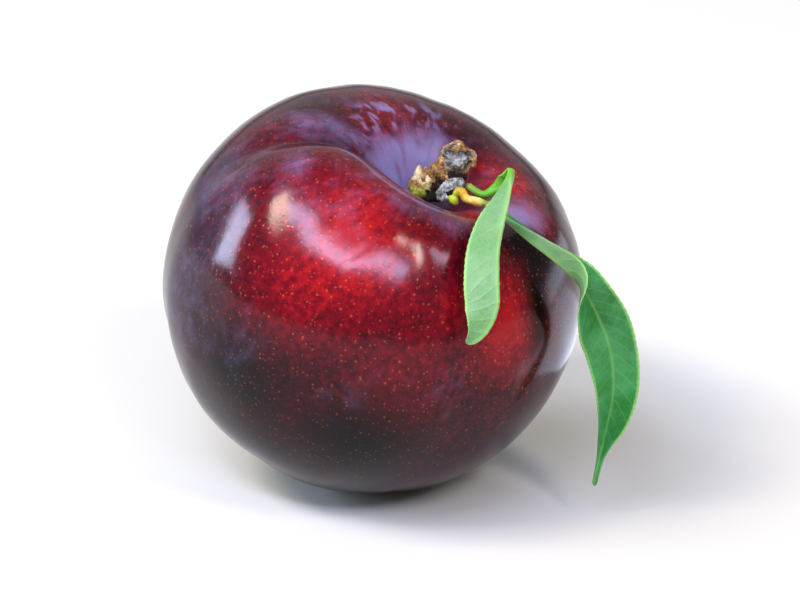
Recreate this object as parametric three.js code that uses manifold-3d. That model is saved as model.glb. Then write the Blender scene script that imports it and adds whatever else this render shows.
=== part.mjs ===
// A ripe plum with the woody spur it was picked with, and two young leaves.
// Millimetres, +Z up. The origin is the middle of the small flat spot that the fruit rests on.
import * as THREE from 'three';
import { mergeVertices } from 'three/addons/utils/BufferGeometryUtils.js';
import Module from 'manifold-3d';

const wasm = await Module();
wasm.setup();

// ---------- driving dimensions (mm) ----------

// Places on the fruit are two angles in radians: polar, down from the stem axis, and around, about
// that axis from the suture, which is the groove down one side. A width that ends in Spread is the
// angle or the length over which a form fades out.

// fruit
const halfWidth = 29.0; // middle of the fruit to its cheek
const outOfRound = 0.008; // the cheeks are this share wider one way than the other
const widestSide = 0.6;
const topHalf = 25.0; // middle to the shoulders, before the stem cavity is sunk
const bottomHalf = 28.2; // middle to the blossom end
const fullness = 2.15; // 2 gives an ellipse, more gives fuller shoulders
const fruitColumns = 52;
const fruitRings = 44;

// stem cavity, shaped as a drop whose tail runs out along the suture
const cavityDepth = 9.0; // below the unsunk shoulder
const cavityMouth = 0.318; // from the stem axis to half way down the cavity's wall
const cavityWall = 4.2; // how sharply the wall turns over the lip
const cavityTail = 0.33; // the mouth is this share longer at the suture
const tailSpread = 0.5;
const cavityLean = 0.2; // and opens this share wider on its far side
const farSide = -1.69;
const lipHeight = 1.6; // the lip stands this much higher on its near side
const lipPolar = 0.42;
const lipSpread = 0.3;
const nearSide = 1.5;
const nearSpread = 0.95;

// suture, and the cheeks beside it
const sutureDepth = 1.5; // at its deepest, by the cavity
const sutureRest = 0.22; // further down
const deepestPolar = 0.55;
const deepestSpread = 0.38;
const sutureWidth = 1.4; // by the cavity
const sutureWidening = 1.8; // it is this much wider on the cheeks
const sutureDrift = 0.25; // how far it turns round the fruit on its way down
const cheekStep = 0.35; // one cheek stands this much higher than the other at the suture
const stepPolar = 0.6;
const stepSpread = 0.4;
const stepReach = 0.9;
const rollHeight = 1.1; // a full roll of flesh swells beside the suture, on the near cheek
const rollPolar = 0.75;
const rollAround = 0.42;
const rollSpread = 0.3;
const dimpleDepth = 0.9; // at the blossom end
const dimpleSpread = 0.16;

// how the fruit lies: it leans on its side a little, so the stem end looks forward and to the right
const fruitMiddle = new THREE.Vector3(-1.0, 0.6, 28.0);
const stemAxis = new THREE.Vector3(0.377, -0.283, 0.882).normalize();
const sutureSide = new THREE.Vector3(-0.905, 0.09, 0.416);

// stalk, in distances from the fruit's middle along the stem axis
const socketFloor = 14.8;
const stalkFoot = 15.1;
const stalkTop = 19.2;
const stalkRadius = 1.05;
const stalkSides = 12;
const socketLength = 4;
const clearance = 0.3; // between pieces that touch

// leaf blades
const stepsPerStation = 6;
const teethPerStation = 2;
const toothDepth = 0.3;
const toothedFrom = 1.4; // a margin this far from the rib starts to show teeth
const toothedFully = 2.4;

// ---------- from three.js geometry to solids and back ----------

function toSolid(geometry) {
  const bare = geometry.index ? geometry.toNonIndexed() : geometry.clone();
  bare.deleteAttribute('normal');
  bare.deleteAttribute('uv');
  const merged = mergeVertices(bare, 1e-5);
  const corners = merged.index.array;
  const triangles = [];
  for (let i = 0; i < corners.length; i += 3) {
    const [a, b, c] = [corners[i], corners[i + 1], corners[i + 2]];
    if (a !== b && b !== c && c !== a) triangles.push(a, b, c); // a lathe's pole leaves empty ones
  }
  return new wasm.Manifold(new wasm.Mesh({
    numProp: 3,
    vertProperties: new Float32Array(merged.attributes.position.array),
    triVerts: new Uint32Array(triangles),
  }));
}

function toGeometry(solid) {
  const mesh = solid.getMesh();
  const geometry = new THREE.BufferGeometry();
  geometry.setAttribute('position', new THREE.BufferAttribute(new Float32Array(mesh.vertProperties), 3));
  geometry.setIndex(new THREE.BufferAttribute(new Uint32Array(mesh.triVerts), 1));
  geometry.computeVertexNormals();
  return geometry;
}

// a profile of [radius, height] points, turned round an axis that starts at foot
function turned(profile, sides, foot, axis) {
  const outline = profile.map(([radius, height]) => new THREE.Vector2(radius, height));
  const geometry = new THREE.LatheGeometry(outline, sides);
  const upright = new THREE.Vector3(0, 1, 0);
  geometry.applyQuaternion(new THREE.Quaternion().setFromUnitVectors(upright, axis.clone().normalize()));
  geometry.translate(foot.x, foot.y, foot.z);
  return toSolid(geometry);
}

// a round tube through points
function tube(points, radius, sides, steps) {
  const section = new THREE.Shape().absarc(0, 0, radius, 0, 2 * Math.PI, false);
  const path = new THREE.CatmullRomCurve3(points.map((point) => new THREE.Vector3(...point)));
  return toSolid(new THREE.ExtrudeGeometry(section, {
    steps, extrudePath: path, curveSegments: sides, bevelEnabled: false,
  }));
}

function ball(middle, radius) {
  const geometry = new THREE.SphereGeometry(radius, 10, 8);
  geometry.translate(...middle);
  return toSolid(geometry);
}

function join(solids) {
  return solids.reduce((whole, solid) => whole.add(solid));
}

function onStemAxis(distance) {
  return fruitMiddle.clone().addScaledVector(stemAxis, distance);
}

// the hole that the stalk stands in, from a distance along the stem axis
function stalkSocket(from) {
  const wall = stalkRadius + clearance;
  const hole = [[0, 0], [wall, 0], [wall, socketLength], [0, socketLength]];
  return turned(hole, stalkSides, onStemAxis(from), stemAxis);
}

// ---------- fruit ----------

function bell(x, width) {
  return Math.exp(-((x / width) ** 2));
}

// the angle x, brought between -pi and pi
function wrapped(x) {
  return Math.atan2(Math.sin(x), Math.cos(x));
}

// distance from the fruit's middle to its skin
function fruitRadius(polar, around) {
  const wide = halfWidth * (1 + outOfRound * Math.cos(2 * (around - widestSide)));
  const high = (bottomHalf + topHalf) / 2 - ((bottomHalf - topHalf) / 2) * Math.cos(polar);
  const across = (Math.abs(Math.sin(polar)) / wide) ** fullness;
  const along = (Math.abs(Math.cos(polar)) / high) ** fullness;
  let radius = (across + along) ** (-1 / fullness);
  const offSuture = wrapped(around - sutureDrift * (polar - 0.5)); // as an angle
  const fromSuture = offSuture * Math.sin(polar) * radius; // and in mm

  const tail = 1 + cavityTail * bell(offSuture, tailSpread);
  const lean = 1 + cavityLean * Math.cos(around - farSide);
  radius -= cavityDepth / (1 + (polar / (cavityMouth * tail * lean)) ** cavityWall);

  const grooveDepth = sutureRest + sutureDepth * bell(polar - deepestPolar, deepestSpread);
  const grooveWidth = sutureWidth + sutureWidening * Math.min(polar / 1.5, 1);
  const fromAxis = Math.min(polar / 0.25, 1); // the groove fades out at the very stem
  radius -= grooveDepth * bell(fromSuture, grooveWidth) * fromAxis;
  const step = cheekStep * Math.tanh(3 * offSuture) * bell(offSuture, stepReach);
  radius += step * bell(polar - stepPolar, stepSpread);
  radius += rollHeight * bell(offSuture - rollAround, rollSpread) * bell(polar - rollPolar, rollSpread);
  radius += lipHeight * bell(polar - lipPolar, lipSpread) * bell(wrapped(around - nearSide), nearSpread);

  return radius - dimpleDepth * bell(Math.PI - polar, dimpleSpread);
}

function makeFruit() {
  const across = new THREE.Vector3().crossVectors(stemAxis, sutureSide);
  const lie = new THREE.Matrix4().makeBasis(sutureSide, across, stemAxis).setPosition(fruitMiddle);
  const skin = new THREE.SphereGeometry(1, fruitColumns, fruitRings);
  skin.rotateX(Math.PI / 2);
  const place = skin.attributes.position;
  for (let i = 0; i < place.count; i += 1) {
    const down = Math.acos(THREE.MathUtils.clamp(place.getZ(i), -1, 1)) / Math.PI;
    const turn = Math.atan2(place.getY(i), place.getX(i));
    const polar = Math.PI * (0.35 * down + 0.65 * down * down); // rings crowd towards the cavity
    const around = turn - 0.5 * Math.sin(turn); // and columns towards the suture
    const radius = fruitRadius(polar, around);
    const outward = radius * Math.sin(polar);
    place.setXYZ(i, outward * Math.cos(around), outward * Math.sin(around), radius * Math.cos(polar));
  }
  skin.applyMatrix4(lie);

  const surface = new THREE.BoxGeometry(60, 60, 6).translate(0, 0, -3);
  return toSolid(skin).subtract(toSolid(surface)).subtract(stalkSocket(socketFloor));
}

// ---------- stalk and spur ----------

// the short fruit stalk, a little waisted between its foot and the spur
function makeStalk() {
  const length = stalkTop - stalkFoot;
  return turned([
    [0, 0], [stalkRadius, 0], [stalkRadius * 0.86, length * 0.25], [stalkRadius * 0.8, length * 0.5],
    [stalkRadius * 0.86, length * 0.75], [stalkRadius, length], [0, length],
  ], stalkSides, onStemAxis(stalkFoot), stemAxis);
}

const twigFoot = new THREE.Vector3(5.0, -4.5, 44.9);
const twigEnd = new THREE.Vector3(10.0, -3.2, 48.2);
const knobMiddle = new THREE.Vector3(10.3, -3.5, 48.7);
const knobFacing = new THREE.Vector3(-0.05, -0.8, 0.6);
const budFoot = new THREE.Vector3(5.0, -5.0, 44.4);
const budTip = new THREE.Vector3(5.3, -3.9, 48.0);

function makeSpur() {
  // a stub of old wood, ringed by the scars of each year's bud scales
  const twig = turned([
    [0, -1.2], [0.9, -1.0], [1.45, -0.3], [1.6, 0.4], [1.3, 0.9], [1.65, 1.4], [1.35, 1.9], [1.7, 2.4],
    [1.4, 2.9], [1.75, 3.4], [1.5, 4.0], [1.8, 4.7], [1.6, 5.4], [1.2, 6.2], [0, 6.5],
  ], 12, twigFoot, twigEnd.clone().sub(twigFoot));
  // its broken end, with a rim of bark round a ring and a pith hollow
  const knob = turned([
    [0, -2.0], [1.5, -1.8], [2.1, -1.0], [2.35, -0.1], [2.45, 0.5], [2.2, 0.95], [1.95, 0.7], [1.7, 0.45],
    [1.35, 0.7], [1.05, 0.85], [0.75, 0.6], [0.45, 0.4], [0, 0.35],
  ], 16, knobMiddle, knobFacing);
  const bud = turned([
    [0, -0.6], [0.7, -0.3], [0.95, 0.5], [0.85, 1.5], [0.6, 2.5], [0.3, 3.4], [0, 3.8],
  ], 8, budFoot, budTip.clone().sub(budFoot));
  const core = ball([8.0, -4.8, 45.6], 1.5);
  // an arched leaf scar in front of it, and the hooked green shoot that carries the side leaf
  const scar = tube([
    [7.5, -5.5, 43.9], [8.5, -5.9, 45.2], [9.7, -5.9, 46.1], [11.0, -5.3, 46.0],
  ], 0.8, 8, 9);
  const shoot = tube([
    [9.0, -5.9, 45.4], [9.8, -6.8, 44.6], [10.9, -7.3, 45.3], [11.9, -8.2, 44.6], [13.7, -8.1, 44.3],
  ], 0.55, 8, 16);
  const socket = stalkSocket(stalkTop + clearance - socketLength);
  return join([twig, knob, bud, core, scar, shoot]).subtract(socket);
}

// ---------- leaves ----------

// Stations run from the cut foot of the leaf's stalk to the tip of its blade. at is on the rib,
// facing is where the upper side looks, left and right are the half widths as seen from above,
// and fold is how far each half is lifted from flat, in degrees, as a young leaf's are.
const frontLeaf = [
  { at: [12.1, -5.3, 45.4], facing: [0.0, -0.3, 0.9], left: 0.55, right: 0.55, fold: 0, thick: 1.1 },
  { at: [13.7, -6.4, 44.7], facing: [0.0, -0.3, 0.9], left: 0.5, right: 0.5, fold: 0, thick: 1.0 },
  { at: [15.4, -6.1, 45.3], facing: [-0.3, -0.6, 0.7], left: 0.5, right: 0.5, fold: 10, thick: 0.9 },
  { at: [16.8, -5.3, 47.1], facing: [0.1, -0.9, 0.4], left: 0.65, right: 0.65, fold: 25, thick: 0.7 },
  { at: [17.5, -6.3, 48.6], facing: [-0.3, -0.5, -0.8], left: 0.6, right: 0.6, fold: 20, thick: 0.6 },
  { at: [17.4, -9.5, 48.1], facing: [-0.6, 0.3, -0.7], left: 0.8, right: 0.8, fold: 35, thick: 0.6 },
  { at: [16.9, -13.7, 47.1], facing: [-0.8, 0.3, -0.5], left: 2.1, right: 1.8, fold: 58, thick: 0.6 },
  { at: [16.1, -18.3, 45.7], facing: [-0.9, 0.3, -0.3], left: 3.3, right: 2.7, fold: 64, thick: 0.6 },
  { at: [15.4, -22.2, 43.5], facing: [-0.9, 0.4, -0.2], left: 4.0, right: 3.2, fold: 66, thick: 0.6 },
  { at: [15.3, -25.2, 40.7], facing: [-0.9, 0.4, -0.2], left: 4.3, right: 3.5, fold: 66, thick: 0.6 },
  { at: [15.3, -27.0, 37.9], facing: [-0.9, 0.5, -0.1], left: 4.2, right: 3.5, fold: 64, thick: 0.6 },
  { at: [14.5, -28.0, 35.6], facing: [-0.8, 0.6, 0.1], left: 3.7, right: 3.0, fold: 60, thick: 0.6 },
  { at: [13.1, -28.4, 33.8], facing: [-0.7, 0.6, 0.3], left: 2.3, right: 1.9, fold: 48, thick: 0.6 },
  { at: [11.4, -28.1, 32.7], facing: [-0.6, 0.7, 0.4], left: 0.5, right: 0.5, fold: 15, thick: 0.6 },
];
const sideLeaf = [
  { at: [14.2, -8.2, 44.1], facing: [0.5, 0.1, 0.9], left: 0.55, right: 0.55, fold: 0, thick: 1.1 },
  { at: [15.5, -10.0, 44.1], facing: [0.6, 0.2, 0.8], left: 0.55, right: 0.55, fold: 0, thick: 1.0 },
  { at: [17.3, -11.9, 43.3], facing: [0.6, 0.2, 0.8], left: 0.8, right: 0.8, fold: 25, thick: 0.8 },
  { at: [20.1, -13.5, 41.3], facing: [0.6, 0.3, 0.7], left: 1.3, right: 1.3, fold: 52, thick: 0.6 },
  { at: [22.8, -14.1, 39.2], facing: [0.6, 0.3, 0.7], left: 1.8, right: 1.8, fold: 62, thick: 0.6 },
  { at: [25.1, -13.8, 36.9], facing: [0.7, 0.1, 0.7], left: 2.4, right: 2.5, fold: 62, thick: 0.6 },
  { at: [27.3, -13.1, 33.6], facing: [0.3, -0.8, 0.5], left: 3.4, right: 3.6, fold: 40, thick: 0.6 },
  { at: [29.6, -12.3, 28.6], facing: [0.1, -0.9, 0.4], left: 4.0, right: 4.1, fold: 22, thick: 0.6 },
  { at: [31.0, -12.3, 24.6], facing: [0.0, -0.9, 0.4], left: 3.9, right: 3.7, fold: 20, thick: 0.6 },
  { at: [31.5, -12.7, 20.8], facing: [0.1, -0.9, 0.4], left: 3.7, right: 3.3, fold: 22, thick: 0.6 },
  { at: [31.4, -13.2, 17.2], facing: [0.1, -0.9, 0.4], left: 3.3, right: 2.6, fold: 28, thick: 0.6 },
  { at: [30.8, -13.8, 13.7], facing: [-0.1, -0.9, 0.4], left: 2.9, right: 1.3, fold: 36, thick: 0.6 },
  { at: [30.0, -14.7, 9.4], facing: [-0.4, -0.8, 0.4], left: 0.8, right: 0.6, fold: 30, thick: 0.6 },
  { at: [29.1, -15.5, 5.2], facing: [-0.5, -0.8, 0.4], left: 0.35, right: 0.35, fold: 15, thick: 0.6 },
];

// what the stations give at a place between them, on a smooth curve through them all
function between(stations, place) {
  const last = stations.length - 1;
  const first = Math.min(Math.floor(place), last - 1);
  const f = place - first;
  const shares = [
    -0.5 * f + f * f - 0.5 * f ** 3,
    1 - 2.5 * f * f + 1.5 * f ** 3,
    0.5 * f + 2 * f * f - 1.5 * f ** 3,
    -0.5 * f * f + 0.5 * f ** 3,
  ];
  const near = shares.map((share, i) => [share, stations[Math.max(0, Math.min(last, first - 1 + i))]]);
  const mix = (value) => near.reduce((sum, [share, station]) => sum + share * value(station), 0);
  const mixVector = (name) => {
    const parts = [0, 1, 2].map((k) => mix((station) => station[name][k]));
    return new THREE.Vector3(...parts);
  };
  return {
    at: mixVector('at'),
    facing: mixVector('facing'),
    left: mix((station) => station.left),
    right: mix((station) => station.right),
    fold: THREE.MathUtils.degToRad(mix((station) => station.fold)),
    thick: mix((station) => station.thick),
  };
}

// one row across the leaf: five points on its upper side and the five under them
function leafRow(stations, place) {
  const here = between(stations, place);
  const ahead = between(stations, Math.min(place + 0.05, stations.length - 1));
  const behind = between(stations, Math.max(place - 0.05, 0));
  const along = ahead.at.sub(behind.at).normalize();
  const up = here.facing.addScaledVector(along, -here.facing.dot(along)).normalize();
  const side = new THREE.Vector3().crossVectors(along, up);
  const tooth = toothDepth * (Math.abs(Math.sin(Math.PI * teethPerStation * place)) - 0.6);
  const row = { upper: [], lower: [] };
  for (const share of [-1, -0.5, 0, 0.5, 1]) {
    const half = share < 0 ? here.left : here.right;
    const toothed = THREE.MathUtils.clamp((half - toothedFrom) / (toothedFully - toothedFrom), 0, 1);
    const width = half * Math.abs(share) + (Math.abs(share) === 1 ? tooth * toothed : 0);
    const middle = here.at.clone()
      .addScaledVector(side, Math.sign(share) * width * Math.cos(here.fold))
      .addScaledVector(up, width * Math.sin(here.fold));
    const normal = share === 0
      ? up.clone().divideScalar(Math.cos(here.fold)) // the two halves' faces meet on the rib
      : up.clone().multiplyScalar(Math.cos(here.fold))
        .addScaledVector(side, -Math.sign(share) * Math.sin(here.fold));
    row.upper.push(middle.clone().addScaledVector(normal, here.thick / 2));
    row.lower.push(middle.clone().addScaledVector(normal, -here.thick / 2));
  }
  return row;
}

// rows joined into one closed solid, its two faces split into triangles alike
function makeLeaf(stations) {
  const steps = (stations.length - 1) * stepsPerStation;
  const rows = [];
  for (let i = 0; i <= steps; i += 1) rows.push(leafRow(stations, i / stepsPerStation));
  const corners = [];
  const quad = (a, b, c, d) => corners.push(a, b, c, a, c, d);
  const across = rows[0].upper.length - 1;
  rows.forEach((row, i) => {
    const next = rows[i + 1];
    for (let k = 0; k < across && next; k += 1) {
      quad(row.upper[k], row.upper[k + 1], next.upper[k + 1], next.upper[k]);
      corners.push(row.lower[k], next.lower[k + 1], row.lower[k + 1]);
      corners.push(row.lower[k], next.lower[k], next.lower[k + 1]);
    }
    if (next) {
      quad(row.lower[0], row.upper[0], next.upper[0], next.lower[0]);
      quad(row.upper[across], row.lower[across], next.lower[across], next.upper[across]);
    }
  });
  const [foot, tip] = [rows[0], rows[steps]];
  for (let k = 0; k < across; k += 1) {
    quad(foot.lower[k], foot.lower[k + 1], foot.upper[k + 1], foot.upper[k]);
    quad(tip.upper[k], tip.upper[k + 1], tip.lower[k + 1], tip.lower[k]);
  }
  return toSolid(new THREE.BufferGeometry().setFromPoints(corners));
}

// ---------- the plum ----------

const finishes = {
  skin: new THREE.MeshStandardMaterial({ color: 0x6e1a2a, roughness: 0.28, metalness: 0 }),
  stalk: new THREE.MeshStandardMaterial({ color: 0x6f6a2c, roughness: 0.7, metalness: 0 }),
  bark: new THREE.MeshStandardMaterial({ color: 0x8a7a62, roughness: 0.9, metalness: 0 }),
  leaf: new THREE.MeshStandardMaterial({ color: 0x6fb673, roughness: 0.5, metalness: 0 }),
};

function piece(name, solid, finish) {
  const mesh = new THREE.Mesh(toGeometry(solid), finish);
  mesh.name = name;
  return mesh;
}

const plum = new THREE.Group();
plum.add(
  piece('fruit', makeFruit(), finishes.skin),
  piece('stalk', makeStalk(), finishes.stalk),
  piece('spur', makeSpur(), finishes.bark),
  piece('leaf_front', makeLeaf(frontLeaf), finishes.leaf),
  piece('leaf_side', makeLeaf(sideLeaf), finishes.leaf),
);

export default plum;
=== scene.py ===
import math

import bmesh
import bpy
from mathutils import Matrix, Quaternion, Vector, noise
from mathutils.bvhtree import BVHTree


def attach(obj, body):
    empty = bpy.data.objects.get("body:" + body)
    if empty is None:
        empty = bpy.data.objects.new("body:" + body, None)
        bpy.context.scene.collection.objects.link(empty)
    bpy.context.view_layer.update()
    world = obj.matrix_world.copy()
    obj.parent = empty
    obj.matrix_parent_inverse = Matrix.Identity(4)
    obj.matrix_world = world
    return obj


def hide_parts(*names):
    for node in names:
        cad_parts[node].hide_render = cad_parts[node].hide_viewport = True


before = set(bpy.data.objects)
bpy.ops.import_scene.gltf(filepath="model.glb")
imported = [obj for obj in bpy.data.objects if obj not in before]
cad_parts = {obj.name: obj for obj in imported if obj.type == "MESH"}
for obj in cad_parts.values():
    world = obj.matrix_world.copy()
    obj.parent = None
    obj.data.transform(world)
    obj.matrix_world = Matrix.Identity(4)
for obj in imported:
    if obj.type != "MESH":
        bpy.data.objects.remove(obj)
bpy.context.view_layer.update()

mm = 0.001  # the sizes below are in mm, and Blender's in metres


def bell(x, width):
    return math.exp(-((x / width) ** 2))


def clamp(x, low=0.0, high=1.0):
    return max(low, min(high, x))


def smooth(x, low, high):
    share = clamp((x - low) / (high - low))
    return share * share * (3 - 2 * share)


def wrapped(angle):
    return math.atan2(math.sin(angle), math.cos(angle))


def cross(a, b):
    return Vector(a).cross(Vector(b))


def through(values, place):
    # a smooth curve through values, which are numbers or vectors, at a place such as 2.5
    last = len(values) - 1
    first = min(int(place), last - 1)
    f = place - first
    shares = (
        -0.5 * f + f * f - 0.5 * f ** 3,
        1 - 2.5 * f * f + 1.5 * f ** 3,
        0.5 * f + 2 * f * f - 1.5 * f ** 3,
        -0.5 * f * f + 0.5 * f ** 3,
    )
    total = values[0] * 0
    for i, share in enumerate(shares):
        total = total + values[int(clamp(first - 1 + i, 0, last))] * share
    return total


def heading(points, place):
    # which way that curve runs there, from a short step back to a short step ahead
    step = 0.05
    return through(points, min(place + step, len(points) - 1)) - through(points, max(place - step, 0))


def closedForm(rows, columns, place, values=()):
    # a sphere whose rings are moved to where place(down, turn) says, in mm: down runs from 0 at one
    # pole to 1 at the other and turn round it. values are the attributes that place gives after the
    # point. The half with a turn under 0 takes the piece's second material
    mesh = bmesh.new()
    bmesh.ops.create_uvsphere(mesh, u_segments=columns, v_segments=rows, radius=1)
    layers = [mesh.verts.layers.float_vector.new(name) for name in values]
    for face in mesh.faces:
        face.smooth = True
        face.material_index = int(face.calc_center_median().y < 0)
    for vertex in mesh.verts:
        down = math.acos(clamp(vertex.co.z, -1, 1)) / math.pi
        turn = math.atan2(vertex.co.y, vertex.co.x)
        point, *held = place(down, turn)
        vertex.co = point * mm
        for layer, value in zip(layers, held):
            vertex[layer] = value
    bmesh.ops.recalc_face_normals(mesh, faces=mesh.faces)
    return mesh


def toData(name, mesh):
    data = bpy.data.meshes.new(name)
    mesh.to_mesh(data)
    mesh.free()
    return data


def addObject(name, data):
    added = bpy.data.objects.new(name, data)
    bpy.context.scene.collection.objects.link(added)
    return added


def finishPiece(name, mesh, slot, materials, *nodes):
    # a piece that rides on the body and takes the place of those CAD nodes
    data = toData(name, mesh)
    for material in materials:
        data.materials.append(material)
    piece = addObject(name, data)
    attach(piece, "root")
    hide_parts(*nodes)
    print(name, len(data.polygons), "faces")


def linear(hexColour):
    channels = [int(hexColour[i:i + 2], 16) / 255 for i in (1, 3, 5)]
    return tuple(c / 12.92 if c <= 0.04045 else ((c + 0.055) / 1.055) ** 2.4 for c in channels) + (1.0,)


def addNode(tree, kind, inputs=None, stops=None, **settings):
    # adds a node with its settings, its inputs (values or sockets to link) and a ramp's stops
    node = tree.nodes.new("ShaderNode" + kind)
    for name, value in settings.items():
        setattr(node, name, value)
    for name, value in (inputs or {}).items():
        if isinstance(value, bpy.types.NodeSocket):
            tree.links.new(value, node.inputs[name])
        else:
            node.inputs[name].default_value = value
    if stops:
        elements = node.color_ramp.elements
        while len(elements) < len(stops):
            elements.new(0.5)
        for element, (place, colour) in zip(elements, stops):
            element.position = place
            element.color = linear(colour)
    return node


def newMaterial(name, **sockets):
    material = bpy.data.materials.new(name)
    material.use_nodes = True
    tree = material.node_tree
    shader = tree.nodes["Principled BSDF"]
    for socket, value in sockets.items():
        shader.inputs[socket.replace("_", " ")].default_value = value
    return material, tree, shader


def perMetre(size):
    return 1000 / size  # a texture's scale for a pattern of that size in mm


def brokenUp(tree, value, pattern, reach):
    # a value moved up and down by a noise, which mostly runs from 0.3 to 0.7
    shift = addNode(tree, "MapRange", {"Value": pattern, 1: 0.3, 2: 0.7, 3: -reach, 4: reach}).outputs[0]
    return addNode(tree, "Math", {0: value, 1: shift}, operation="ADD").outputs[0]


camera = {
    "elevation": 25.0,  # degrees above the horizon, looking along +Y
    "distance": 700.0,
    "lookAt": (2.6, 0.0, 26.0),
    "lens": 229.0,
    "clipStart": 50.0,
}


def makeCamera():
    data = bpy.data.cameras.new("camera")
    data.lens = camera["lens"]
    data.clip_start = camera["clipStart"] * mm
    seat = addObject("camera", data)
    tilt = math.radians(camera["elevation"])
    back = Vector((0, -math.cos(tilt), math.sin(tilt)))
    seat.location = (Vector(camera["lookAt"]) + back * camera["distance"]) * mm
    seat.rotation_euler = (-back).to_track_quat("-Z", "Y").to_euler()
    bpy.context.scene.camera = seat
    print("camera", camera["distance"], "mm away")


makeCamera()


# places on the fruit are two angles in radians: polar, down from the stem axis, and around, about that
# axis from the suture, the groove down one side. A spread is the width over which a form fades out
fruit = {
    "middle": Vector((-1.0, 0.6, 28.0)),  # from the middle of the flat spot it rests on
    "stemAxis": Vector((0.377, -0.283, 0.882)).normalized(),
    "sutureSide": Vector((-0.905, 0.09, 0.416)),
    "halfWidth": 29.0,
    "outOfRound": 0.008,  # the cheeks are this share wider one way than the other
    "widestSide": 0.6,
    "topHalf": 25.0,  # middle to the shoulders, before the stem cavity is sunk
    "bottomHalf": 28.2,
    "fullness": 2.15,  # 2 gives an ellipse, more gives fuller shoulders
    # the stem cavity, shaped as a drop whose tail runs out along the suture
    "cavityDepth": 9.0,
    "cavityMouth": 0.318,
    "cavityWall": 4.2,  # how sharply its wall turns over the lip
    "cavityTail": 0.33,
    "tailSpread": 0.5,
    "cavityLean": 0.2,  # it opens this share wider on its far side
    "farSide": -1.69,
    "lipHeight": 1.6,  # its lip stands this much higher on the near side
    "lipPolar": 0.42,
    "lipSpread": 0.3,
    "nearSide": 1.5,
    "nearSpread": 0.95,
    # the suture, and the cheeks beside it
    "sutureDepth": 1.5,  # at its deepest, by the cavity
    "sutureRest": 0.22,  # further down
    "deepestPolar": 0.55,
    "deepestSpread": 0.38,
    "sutureWidth": 1.4,
    "sutureWidening": 1.8,
    "sutureWidest": 1.5,
    "sutureStart": 0.25,  # it fades out at the very stem
    "sutureDrift": 0.25,  # how far it turns round the fruit on its way down
    "cheekStep": 0.35,  # one cheek stands this much higher than the other
    "stepSharpness": 3.0,
    "stepPolar": 0.6,
    "stepSpread": 0.4,
    "stepReach": 0.9,
    "rollHeight": 1.1,  # a roll of flesh beside the suture, on the near cheek
    "rollPolar": 0.75,
    "rollAround": 0.42,
    "rollSpread": 0.3,
    "dimpleDepth": 0.9,  # at the blossom end
    "dimpleSpread": 0.16,
    # the finer forms
    "rows": 250,
    "columns": 300,
    "rowCrowding": 0.65,  # rows lie closer together in the cavity, and columns by the suture
    "columnCrowding": 0.5,
    "flutes": (5.5, 5.5, 2.2),  # shallow flutes that run down from the stem, about 5 mm apart
    "fluteDepth": 0.16,
    "swells": 2.6,  # slow swellings, about 11 mm across
    "swellDepth": 0.22,
    "reliefFrom": (0.35, 0.6),  # polar angles between which both begin
    "inset": 0.28,  # so that no flute or swelling stands outside the fruit's own size
    "restEdge": 0.12,  # how softly the flat spot it rests on begins
}
# round patches of skin, by their direction from the fruit's middle, their spread and their strength
skinPatches = {
    # where the sun reached
    "blush": [
        ((-0.12, -0.8, 0.55), 0.58, 1.0),  # the near cheek, up to its lip
        ((0.64, -0.74, 0.16), 0.4, 1.0),  # the cheek behind both leaves
        ((0.1, -0.97, 0.1), 0.55, 0.6),
        ((0.36, -0.89, 0.29), 0.25, 0.75),
        ((0.58, -0.42, 0.7), 0.24, 0.95),  # the cavity's right wall
        ((0.72, -0.1, 0.69), 0.26, 0.95),
        ((0.79, -0.27, 0.55), 0.22, 1.0),  # the right shoulder
        ((-0.44, -0.07, 0.89), 0.25, 0.4),  # the far rim
        ((0.12, 0.1, 0.98), 0.35, 0.5),
        ((-0.2, 0.85, 0.1), 0.45, 0.55),  # the far cheek
    ],
    # where some of the wax is left, and painted sheen and reflections in the bloom's colour, as marked
    "bloom": [
        ((-0.1, -0.6, 0.8), 0.45, 0.24),  # the near lip, with the next row: bloom and painted sheen
        ((-0.36, -0.46, 0.81), 0.2, 0.36),
        ((0.7, -0.04, 0.72), 0.2, 0.26),  # the right shoulder
        ((-0.7, -0.27, 0.66), 0.4, 0.26),  # the left shoulder
        # the left cheek: bloom and painted sheen
        ((-0.9, -0.4, 0.1), 0.35, 0.32),
        ((-0.1, -0.99, -0.08), 0.2, 0.22),  # low on the near cheek, with the next two rows: painted reflections
        ((0.33, -0.93, -0.12), 0.2, 0.24),
        ((-0.62, -0.77, 0.05), 0.26, 0.26),
        ((0.1, 0.3, 0.95), 0.9, 0.2),  # and thinly all over the top: bloom and painted sheen
    ],
    # painted shade: darker under the spur and the side leaf, low on the near cheek, on the left cheek and
    # underneath
    "paintedShade": [
        ((0.22, -0.68, 0.7), 0.17, 0.5),  # under the spur
        ((0.81, -0.46, 0.36), 0.15, 1.0),  # under the side leaf
        ((0.74, -0.49, 0.46), 0.12, 1.0),
        ((-0.64, -0.76, -0.12), 0.34, 1.0),  # low on the near cheek
        ((-0.08, -0.91, -0.42), 0.42, 1.0),
        ((-0.9, -0.4, 0.2), 0.5, 0.6),  # the left cheek
        ((-0.5, -0.4, -0.7), 0.8, 1.0),  # the underside
        ((0.3, 0.3, -0.9), 0.9, 1.0),
    ],
}
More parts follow.
